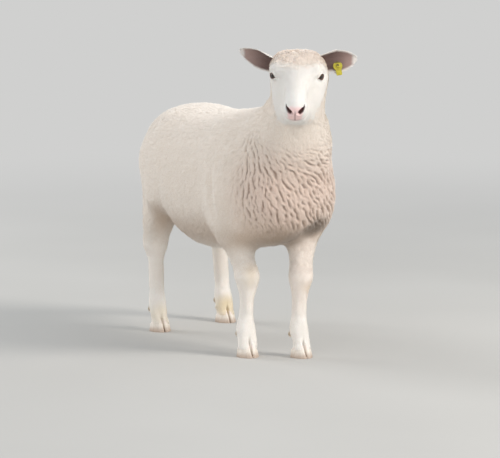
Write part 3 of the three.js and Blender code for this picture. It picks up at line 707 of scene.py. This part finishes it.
class Wire:
    """A socket in a tree of nodes. Arithmetic on it adds Math nodes, and node() adds any other kind."""

    def __init__(self, tree, socket=None):
        self.tree = tree
        self.socket = socket

    def node(self, kind, settings=(), inputs=(), out=0):
        """Adds a node, its settings first, then values or wires for its sockets, by name or number."""
        new = self.tree.nodes.new(kind)
        for name, value in dict(settings).items():
            if name == "stops":
                for spare in list(new.color_ramp.elements)[1:]:
                    new.color_ramp.elements.remove(spare)
                for i, (place, tone) in enumerate(value):
                    stop = new.color_ramp.elements.new(place) if i else new.color_ramp.elements[0]
                    stop.position = place
                    stop.color = (*tone, 1)
            else:
                setattr(new, name, value)
        for name, value in dict(inputs).items():
            if isinstance(value, Wire):
                self.tree.links.new(value.socket, new.inputs[name])
            else:
                new.inputs[name].default_value = value
        return Wire(self.tree, new.outputs[out])

    def output(self, name):
        return Wire(self.tree, self.socket.node.outputs[name])

    def maths(self, operation, a, b):
        return self.node("ShaderNodeMath", {"operation": operation}, {0: a, 1: b})

    def __add__(self, other):
        return self.maths("ADD", self, other)

    def __sub__(self, other):
        return self.maths("SUBTRACT", self, other)

    def __rsub__(self, other):
        return self.maths("SUBTRACT", other, self)

    def __mul__(self, other):
        return self.maths("MULTIPLY", self, other)

    def __truediv__(self, other):
        return self.maths("DIVIDE", self, other)

    def __pow__(self, other):
        return self.maths("POWER", self, other)

    __radd__ = __add__
    __rmul__ = __mul__

    def eased(self, start, end):
        """0 to 1 as the value goes from start to end."""
        settings = {"interpolation_type": "SMOOTHSTEP"}
        limits = {"Value": self, "From Min": start, "From Max": end}
        return self.node("ShaderNodeMapRange", settings, limits)

    def mixed(self, tone, amount, blend="MIX"):
        """This colour mixed with another by an amount."""
        settings = {"data_type": "RGBA", "blend_type": blend}
        return self.node("ShaderNodeMix", settings, {0: amount, 6: self, 7: (*tone, 1)}, 2)

    def graded(self, *stops):
        """This value turned into a colour, by pairs of a value and its colour."""
        return self.node("ShaderNodeValToRGB", {"stops": stops}, {0: self})


def new_material(name, **constants):
    """A material, its shader with constants set on its own sockets, and a wire to start its tree from."""
    made = bpy.data.materials.new(name)
    made.use_nodes = True
    shader = made.node_tree.nodes["Principled BSDF"]
    for socket, value in constants.items():
        shader.inputs[socket.replace("_", " ")].default_value = value
    return made, shader, Wire(made.node_tree)


def feed(shader, **wires):
    """Links wires to the shader's sockets of the same names."""
    for socket, wire in wires.items():
        wire.tree.links.new(wire.socket, shader.inputs[socket.replace("_", " ")])


def noise(tree, scale, detail=2.0, stretch=(1, 1, 1)):
    """Noise about the value 0.5 on the object's own coordinates, in metres."""
    place = tree.node("ShaderNodeTexCoord").output("Object")
    place = tree.node("ShaderNodeMapping", {}, {"Vector": place, "Scale": stretch})
    return tree.node("ShaderNodeTexNoise", {}, {"Vector": place, "Scale": scale, "Detail": detail})


def bumped(height, strength, distance):
    """A bump from a height, as deep as the distance at a strength of 1."""
    settings = {"Height": height, "Strength": strength, "Distance": distance}
    return height.node("ShaderNodeBump", {}, settings)


def read(tree, name, out="Fac"):
    """An attribute of the mesh, as a number unless another output is named."""
    return tree.node("ShaderNodeAttribute", {"attribute_name": name}).output(out)


hide_finish, shader, tree = new_material("hide", Specular_IOR_Level=0.35, Subsurface_Weight=0.06)
shader.inputs["Subsurface Radius"].default_value = (0.004, 0.002, 0.0012)
bareness = read(tree, "bare")
mottle = noise(tree, 90, 3).eased(0.3, 0.7)
tone = read(tree, "markings", "Color")
tone = tone.mixed((0.80, 0.72, 0.66), (1 - bareness) * mottle * 0.16, "MULTIPLY")
# Bare skin has fine pores, and elsewhere the roots of the coat give it a coarser grain.
pores = noise(tree, 1500, 2) * bareness + noise(tree, 700, 3, (1, 1, 0.35)) * (1 - bareness)
feed(shader, Base_Color=tone, Roughness=0.78 - bareness * 0.34, Normal=bumped(pores, 0.45, 0.0009))
skin_mesh.materials.clear()
skin_mesh.materials.append(hide_finish)
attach(skin, "root")
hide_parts(*flesh, "ear_left", "ear_right")

# ---- Fleece and hair ----
# The fleece was shorn a few weeks ago: locks a little under a centimetre long that lean with the lie and
# clump into staples, in furrows over the breast. Face, ears and shanks have short flat hair. Each is
# grown in bands from nose to tail.
BAKE_PATCH = 0.003  # how much of the hide's map each tuft takes, at its root


def coat_tree(cover):
    """A tree that plants tufts on a hide where the attribute named covers it, in one band of it."""
    tree = bpy.data.node_groups.new(cover, "GeometryNodeTree")
    sizes = {
        "Hide": ("Geometry", None),
        "Band": ("Int", 0),
        "Tufts per square metre": ("Float", 280000.0),
        "Length": ("Float", 0.0086),
        "Half width": ("Float", 0.00105),
        "Lean": ("Float", 1.1),
        "Drift": ("Float", 0.36),
        "Drifts per metre": ("Float", 38.0),
        "Gather": ("Float", 0.2),
        "Staples per metre": ("Float", 84.0),
        "Scatter": ("Float", 0.17),
        "Bend": ("Float", 1.6),
        "Swell": ("Float", 2.4),
        "Finish": ("Material", None),
    }
    for socket, (kind, value) in sizes.items():
        new = tree.interface.new_socket(socket, in_out="INPUT", socket_type=f"NodeSocket{kind}")
        if value is not None:
            new.default_value = value
    tree.interface.new_socket("Coat", in_out="OUTPUT", socket_type="NodeSocketGeometry")
    start = Wire(tree)
    given = start.node("NodeGroupInput").output

    def named(attribute_name, kind="FLOAT"):
        return start.node("GeometryNodeInputNamedAttribute", {"data_type": kind}, {"Name": attribute_name})

    def vector(operation, *terms):
        return start.node("ShaderNodeVectorMath", {"operation": operation}, dict(enumerate(terms)))

    def scaled(way, scale):
        return start.node("ShaderNodeVectorMath", {"operation": "SCALE"}, {0: way, "Scale": scale})

    def together(*ways):
        total = ways[0]
        for way in ways[1:]:
            total = vector("ADD", total, way)
        return total

    def xyz(x, y, z):
        return start.node("ShaderNodeCombineXYZ", {}, {0: x, 1: y, 2: z})

    def scattered(low, high, seed, kind="FLOAT"):
        at = 0 if kind == "FLOAT_VECTOR" else 2
        limits = {at: low, at + 1: high, "Seed": seed}
        return start.node("FunctionNodeRandomValue", {"data_type": kind}, limits, at // 2)

    def store(geometry, name, value, kind="FLOAT", domain="POINT"):
        settings = {"data_type": kind, "domain": domain}
        inputs = {0: geometry, "Name": name, "Value": value}
        return start.node("GeometryNodeStoreNamedAttribute", settings, inputs)

    # One tuft, one metre long and one in half width: a three-sided spike, full at its middle, bent over.
    spike = start.node(
        "GeometryNodeMeshCone",
        {"fill_type": "NGON"},
        {"Vertices": 3, "Side Segments": 1, "Radius Bottom": 1.0, "Depth": 1.0},
    )
    half_patch = BAKE_PATCH / 2
    to_patch = ((BAKE_PATCH, BAKE_PATCH, 0), (-half_patch, -half_patch, 0))
    patch = vector("MULTIPLY_ADD", spike.output("UV Map"), *to_patch)
    place = start.node("GeometryNodeInputPosition")
    up = start.node("ShaderNodeSeparateXYZ", {}, {0: place}).output("Z")
    girth = 1 + up * (1 - up) * given("Swell")
    tuft = store(spike, "along", up)
    tuft = store(tuft, "patch", patch, "FLOAT_VECTOR", "CORNER")
    droop = xyz(up * up * given("Bend"), 0.0, 0.0)
    shaped = together(vector("MULTIPLY", place, xyz(girth, girth, 1.0)), droop)
    tuft = start.node("GeometryNodeSetPosition", {}, {"Geometry": tuft, "Position": shaped})

    in_band = start.node(
        "FunctionNodeCompare",
        {"data_type": "INT", "operation": "EQUAL"},
        {2: named("band", "INT"), 3: given("Band")},
    )
    planted = start.node(
        "GeometryNodeDistributePointsOnFaces",
        {"distribute_method": "RANDOM"},
        {
            "Mesh": given("Hide"),
            "Selection": in_band,
            "Density": named(cover) * given("Tufts per square metre"),
            "Seed": given("Band") + 11,
        },
    )
    out_of_hide = planted.output("Normal")
    point = start.node("GeometryNodeInputPosition")
    # Tufts lean with the lie and drift to either side of it, and the tips of each staple lean together.
    cell = start.node("ShaderNodeTexVoronoi", {}, {"Vector": point, "Scale": given("Staples per metre")})
    eddies = {"Vector": point, "Scale": given("Drifts per metre"), "Detail": 2.0}
    drift = start.node("ShaderNodeTexNoise", {}, eddies)
    heading = together(
        scaled(named("lie", "FLOAT_VECTOR"), given("Lean")),
        scaled(out_of_hide, 1 - given("Lean") * 0.5),
        scaled(vector("SUBTRACT", drift.output("Color"), (0.5, 0.5, 0.5)), given("Drift")),
        scaled(vector("SUBTRACT", cell.output("Position"), point), given("Gather") / given("Length")),
        scaled(scattered((-1, -1, -1), (1, 1, 1), 5, "FLOAT_VECTOR"), given("Scatter")),
    )
    # Each lies with a flat side up, so that it is lit much as the hide is.
    align = "FunctionNodeAlignRotationToVector"
    turned = start.node(align, {"axis": "Z"}, {"Vector": heading})
    ridge = {"Rotation": turned, "Vector": scaled(out_of_hide, -1.0)}
    turned = start.node(align, {"axis": "X", "pivot_axis": "Z"}, ridge)
    # They stop short in a furrow, and are darkened there with painted shade.
    furrow = named("furrow")
    size = named(cover + "_scale") * scattered(0.72, 1.2, 1)
    long = given("Length") * size * (1 - furrow * 0.45)
    wide = given("Half width") * (0.5 + size * 0.5) * scattered(0.8, 1.25, 2)
    planted = store(planted, "shade", scattered(0.5, 1.0, 3) - furrow * 0.4)
    placed = start.node(
        "GeometryNodeInstanceOnPoints",
        {},
        {"Points": planted, "Instance": tuft, "Rotation": turned, "Scale": xyz(wide, wide, long)},
    )
    whole = start.node("GeometryNodeRealizeInstances", {}, {"Geometry": placed})
    bake_place = vector("ADD", named("OFBake", "FLOAT_VECTOR"), named("patch", "FLOAT_VECTOR"))
    whole = store(whole, "OFBake", bake_place, "FLOAT2", "CORNER")
    whole = start.node("GeometryNodeSetShadeSmooth", {}, {"Geometry": whole, "Shade Smooth": False})
    whole = start.node("GeometryNodeSetMaterial", {}, {"Geometry": whole, "Material": given("Finish")})
    tree.links.new(whole.socket, tree.nodes.new("NodeGroupOutput").inputs["Coat"])
    return tree


# What a piece of coat carries over from the hide and its tree, and has no more use for.
SPARE = ("patch", "lie", "hair", "fleece", "hair_scale", "fleece_scale", "furrow", "bare", "band")


def grown(name, slot, tree, hide, **sizes):
    """One piece of coat grown on a hide, as a plain mesh."""
    grower = hide.modifiers.new("coat", "NODES")
    grower.node_group = tree
    sockets = {item.name: item.identifier for item in tree.interface.items_tree if item.in_out == "INPUT"}
    for size, value in sizes.items():
        grower[sockets[size.replace("_", " ")]] = value
    piece = new_object(name, applied(hide))
    for spare in [a.name for a in piece.data.attributes if a.name in SPARE]:
        piece.data.attributes.remove(piece.data.attributes[spare])
    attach(piece, "root")


def banded(mesh, cover, count):
    """Numbers the faces in bands from nose to tail that hold equal amounts of coat."""
    faces = len(mesh.polygons)
    area = np.empty(faces)
    mesh.polygons.foreach_get("area", area)
    centre = np.empty(3 * faces)
    mesh.polygons.foreach_get("center", centre)
    share = np.array([np.mean([cover[v] for v in polygon.vertices]) for polygon in mesh.polygons])
    order = np.argsort(centre.reshape(-1, 3)[:, 1])
    load = np.cumsum((area * share)[order])
    band = np.empty(faces, int)
    band[order] = np.minimum((load / load[-1] * count).astype(int), count - 1)
    return band


def coat_finish(name, painted_root_shade, roughness, fibres, tone_spread_and_furrow_shade):
    """The finish of tufts: the hide's own markings, with painted shade darker down in the coat, and fine
    fibres.
    """
    sheen = {"Sheen_Weight": 0.6, "Sheen_Roughness": 0.6}
    made, shader, tree = new_material(name, Roughness=roughness, Specular_IOR_Level=0.2, **sheen)
    down = 1 - read(tree, "along")
    tone = read(tree, "markings", "Color").mixed(painted_root_shade, down**1.5, "MULTIPLY")
    # Each tuft's tone differs at random, and in a furrow painted shade darkens it.
    tone = tone.mixed((0.83, 0.77, 0.72), (1 - read(tree, "shade")) * tone_spread_and_furrow_shade, "MULTIPLY")
    feed(shader, Base_Color=tone, Normal=bumped(noise(tree, fibres, 2), 0.35, 0.0006))
    return made


# Short hair is finer, lies flatter and is more even than the fleece, whose sizes are those in the tree.
HAIR_SIZES = {
    "Tufts_per_square_metre": 400000.0,
    "Length": 0.0062,
    "Half_width": 0.00042,
    "Lean": 1.5,
    "Drift": 0.16,
    "Gather": 0.05,
    "Scatter": 0.11,
    "Bend": 1.8,
}
wool_finish = coat_finish("wool", (0.86, 0.80, 0.75), 0.92, 900, 0.40)
hair_finish = coat_finish("hair", (0.93, 0.89, 0.86), 0.7, 2200, 0.16)
for cover, slot, share, bands, finish, sizes in (
    ("fleece", "wool", fleece_share, 6, wool_finish, {}),
    ("hair", "hair", hair_share, 3, hair_finish, HAIR_SIZES),
):
    if "band" in skin_mesh.attributes:
        skin_mesh.attributes.remove(skin_mesh.attributes["band"])
    attribute(skin_mesh, "band", banded(skin_mesh, share, bands), "INT", "FACE")
    tree = coat_tree(cover)
    for i in range(bands):
        grown(f"{cover}_{i + 1}", slot, tree, skin, Band=i, Finish=finish, **sizes)

# ---- Eyes ----
# Clear domed balls, dark amber inside, with the sheep's level slot of a pupil. They sit in the lids and
# face out and forward.
DOME = 0.055  # how far the clear front stands out, as a share of the radius


def ball(side):
    """An eyeball whose points carry their place about its axis, as a share of its radius."""
    shape = bmesh.new()
    bmesh.ops.create_uvsphere(shape, u_segments=48, v_segments=32, radius=1.0)
    mesh = bpy.data.meshes.new(f"eye_{side}")
    shape.to_mesh(mesh)
    shape.free()
    _, out, nose, up = eye_axes(side)
    place = points_of(mesh)
    dome = 1 + DOME * ramp(np.hypot(place[:, 0], place[:, 1]), 0.62, 0.1) * (place[:, 2] > 0)
    axes = np.stack([nose, up, out])
    set_points(mesh, (place * dome[:, None] * EYE_RADIUS) @ axes @ HEAD_TURN.T + EYES[side])
    attribute(mesh, "gaze", place, "FLOAT_VECTOR")
    if np.linalg.det(axes) < 0:
        mesh.flip_normals()
    mesh.shade_smooth()
    return mesh


clear_coat = {"Coat_Weight": 0.6, "Coat_Roughness": 0.03}
eye_finish, shader, tree = new_material("eye", Roughness=0.2, Specular_IOR_Level=0.3, **clear_coat)
gaze = read(tree, "gaze", "Vector")
forward = tree.node("ShaderNodeSeparateXYZ", {}, {0: gaze})
upward = forward.output("Y")
radius = (forward * forward + upward * upward) ** 0.5
streaks = tree.node("ShaderNodeTexNoise", {}, {"Vector": gaze, "Scale": 14.0, "Detail": 3.0})
iris = streaks.graded((0.0, linear(34, 23, 16)), (0.5, linear(62, 43, 28)), (1.0, linear(86, 62, 40)))
pupil = ((forward / 0.40) ** 4 + (upward / 0.15) ** 4).eased(1.25, 0.75)
tone = iris.mixed(linear(14, 11, 10), pupil)
tone = tone.mixed(linear(30, 22, 18), radius.eased(0.66, 0.76))
tone = tone.mixed(linear(70, 52, 44), radius.eased(0.90, 0.97))
feed(shader, Base_Color=tone)
for side in EYES:
    eye = new_object(f"eyeball_{side}", ball(side))
    eye.data.materials.append(eye_finish)
    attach(eye, "root")
    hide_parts(f"eye_{side}")

# ---- Hooves ----
# Each foot has two claws of pale horn, ringed with growth and soiled at the ground, and two small dewclaws
# behind the fetlock.
SOLE = 0.0008  # metres above the ground: points lower than this stay level


def eased_part(names, cell, rounds):
    """CAD parts drawn again finely, with their edges rounded over and their flat soles kept."""
    mesh = redrawn(joined(names), cell)
    points = points_of(mesh)
    sole = points[:, 2] < SOLE
    moved = evened(mesh, points, rounds, 0.5, 1.02)
    moved[sole, 2] = points[sole, 2]
    set_points(mesh, moved)
    mesh.shade_smooth()
    return mesh


def placed_at(tree):
    """The object's own coordinates, in metres, as x, y and z."""
    place = tree.node("ShaderNodeTexCoord").output("Object")
    return tree.node("ShaderNodeSeparateXYZ", {}, {0: place})


horn_finish, shader, tree = new_material("horn", Specular_IOR_Level=0.4)
level = placed_at(tree).output("Z")
grain = noise(tree, 220, 3, (1, 1, 0.15))
cloud = noise(tree, 60, 2)
tone = (grain * 0.6 + cloud * 0.4).graded(
    (0.25, linear(226, 213, 196)), (0.5, linear(243, 233, 220)), (0.8, linear(248, 239, 230))
)
# The horn is soiled at the ground and pinker towards the skin. The dewclaws, higher up, are darker.
for tint, share in (
    (linear(176, 150, 130), level.eased(0.020, 0.002) * 0.75),
    (linear(244, 228, 218), level.eased(0.018, 0.028) * 0.7),
    (linear(178, 160, 136), level.eased(0.048, 0.056)),
):
    tone = tone.mixed(tint, share)
# Rings of growth lie nearly level, about 4 mm apart.
growth = level * 1650 + noise(tree, 45, 1) * 5
rings = growth.maths("SINE", growth, 0.0)
relief = rings * 0.5 + grain
feed(shader, Base_Color=tone, Roughness=0.42 + cloud * 0.3, Normal=bumped(relief, 0.5, 0.0006))
claws = [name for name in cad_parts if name.startswith("claw_")]
dewclaws = [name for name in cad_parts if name.startswith("dewclaw_")]
for title, names, cell, rounds in (("hooves", claws, 0.0014, 8), ("dewclaws", dewclaws, 0.0008, 40)):
    piece = new_object(title, eased_part(names, cell, rounds))
    piece.data.materials.append(horn_finish)
    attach(piece, "root")
    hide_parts(*names)

# ---- Ear tag ----
# A blank two-piece tag moulded in yellow plastic, a panel in front and a disc behind, joined by a pin
# through the left ear.
tag_finish, shader, tree = new_material("tag plastic", Subsurface_Weight=0.1)
shader.inputs["Subsurface Radius"].default_value = (0.003, 0.002, 0.0005)
scuff = noise(tree, 900, 2).eased(0.62, 0.74)
tone = noise(tree, 120, 3).graded((0.3, linear(160, 147, 36)), (0.7, linear(198, 185, 56)))
tone = tone.mixed(linear(128, 112, 52), noise(tree, 260, 3).eased(0.56, 0.72) * 0.45)
tone = tone.mixed(linear(66, 56, 34), read(tree, "pin_head") * 0.85)
feed(shader, Base_Color=tone, Roughness=0.4 + scuff * 0.25, Normal=bumped(scuff, 0.3, 0.0002))
tag_parts = ("ear_tag_front", "ear_tag_back")
tag_mesh = eased_part(tag_parts, 0.00045, 4)
# The head of the pin stands furthest forward, measured through the thin of the tag, and is soiled.
from_middle = points_of(tag_mesh) - points_of(tag_mesh).mean(axis=0)
through = np.linalg.svd(from_middle, full_matrices=False)[2][2]
rise = from_middle @ through * -np.sign(through[1])
attribute(tag_mesh, "pin_head", ramp(rise, rise.max() - 0.0014, rise.max() - 0.0008))
tag = new_object("tag", tag_mesh)
tag.data.materials.append(tag_finish)
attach(tag, "root")
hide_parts(*tag_parts)

# ---- Floor and light ----
# A plain pale floor that runs into a pale room, with one large soft lamp ahead of the animal's left
# shoulder, and weaker ones to fill the shaded side and edge the back.
ROOM = linear(208, 208, 207)
floor_mesh = bpy.data.meshes.new("floor")
floor_mesh.from_pydata([(-9, -9, 0), (9, -9, 0), (9, 14, 0), (-9, 14, 0)], [], [(0, 1, 2, 3)])
floor = new_object("floor", floor_mesh)
floor_finish, shader, tree = new_material("floor", Roughness=0.9, Specular_IOR_Level=0.0)
tone = noise(tree, 1.1, 2).graded((0.3, linear(192, 190, 186)), (0.7, linear(197, 195, 191)))
feed(shader, Base_Color=tone)
# Far off, where the lamps don't reach, the floor is shown as pale as the room.
across = placed_at(tree)
along = across.output("Y")
far = ((across * across + along * along) ** 0.5).eased(1.2, 5.0)
glow = tree.node("ShaderNodeEmission", {}, {"Color": (*ROOM, 1), "Strength": 1.0})
far = far * tree.node("ShaderNodeLightPath").output("Is Camera Ray")
shown = tree.node("ShaderNodeMixShader", {}, {0: far, 1: Wire(tree.tree, shader.outputs[0]), 2: glow})
floor_finish.node_tree.links.new(shown.socket, floor_finish.node_tree.nodes["Material Output"].inputs[0])
floor_mesh.materials.append(floor_finish)

# Each lamp's name, place, width in metres, watts and colour.
LAMPS = (
    ("key", (2.7, -3.2, 3.4), 1.6, 166, (1.0, 0.965, 0.92)),
    ("fill", (-3.6, -4.4, 1.8), 3.0, 66, (1.0, 1.0, 1.0)),
    ("back", (-2.4, 3.8, 3.0), 2.6, 104, (1.0, 1.0, 1.0)),
)
for name, place, width, watts, colour in LAMPS:
    light = bpy.data.lights.new(name, "AREA")
    light.energy = watts
    light.size = width
    light.color = colour
    lamp = bpy.data.objects.new(name, light)
    lamp.location = place
    lamp.rotation_euler = (Vector((0, 0, 0.4)) - lamp.location).to_track_quat("-Z", "Y").to_euler()
    bpy.context.collection.objects.link(lamp)
world = bpy.data.worlds.new("room")
world.use_nodes = True
tree = Wire(world.node_tree)
seen = tree.node("ShaderNodeLightPath").output("Is Camera Ray")
seen = seen.maths("MAXIMUM", seen, seen.output("Is Glossy Ray"))
light_in = world.node_tree.nodes["Background"]
light_in.inputs["Color"].default_value = (0.90, 0.95, 1.0, 1)
light_in.inputs["Strength"].default_value = 0.64
lit = Wire(world.node_tree, light_in.outputs[0])
backdrop = tree.node("ShaderNodeBackground", {}, {"Color": (*ROOM, 1), "Strength": 1.0})
mix = tree.node("ShaderNodeMixShader", {}, {0: seen, 1: lit, 2: backdrop})
world.node_tree.links.new(mix.socket, world.node_tree.nodes["World Output"].inputs[0])
bpy.context.scene.world = world
bpy.context.scene.view_settings.view_transform = "Standard"
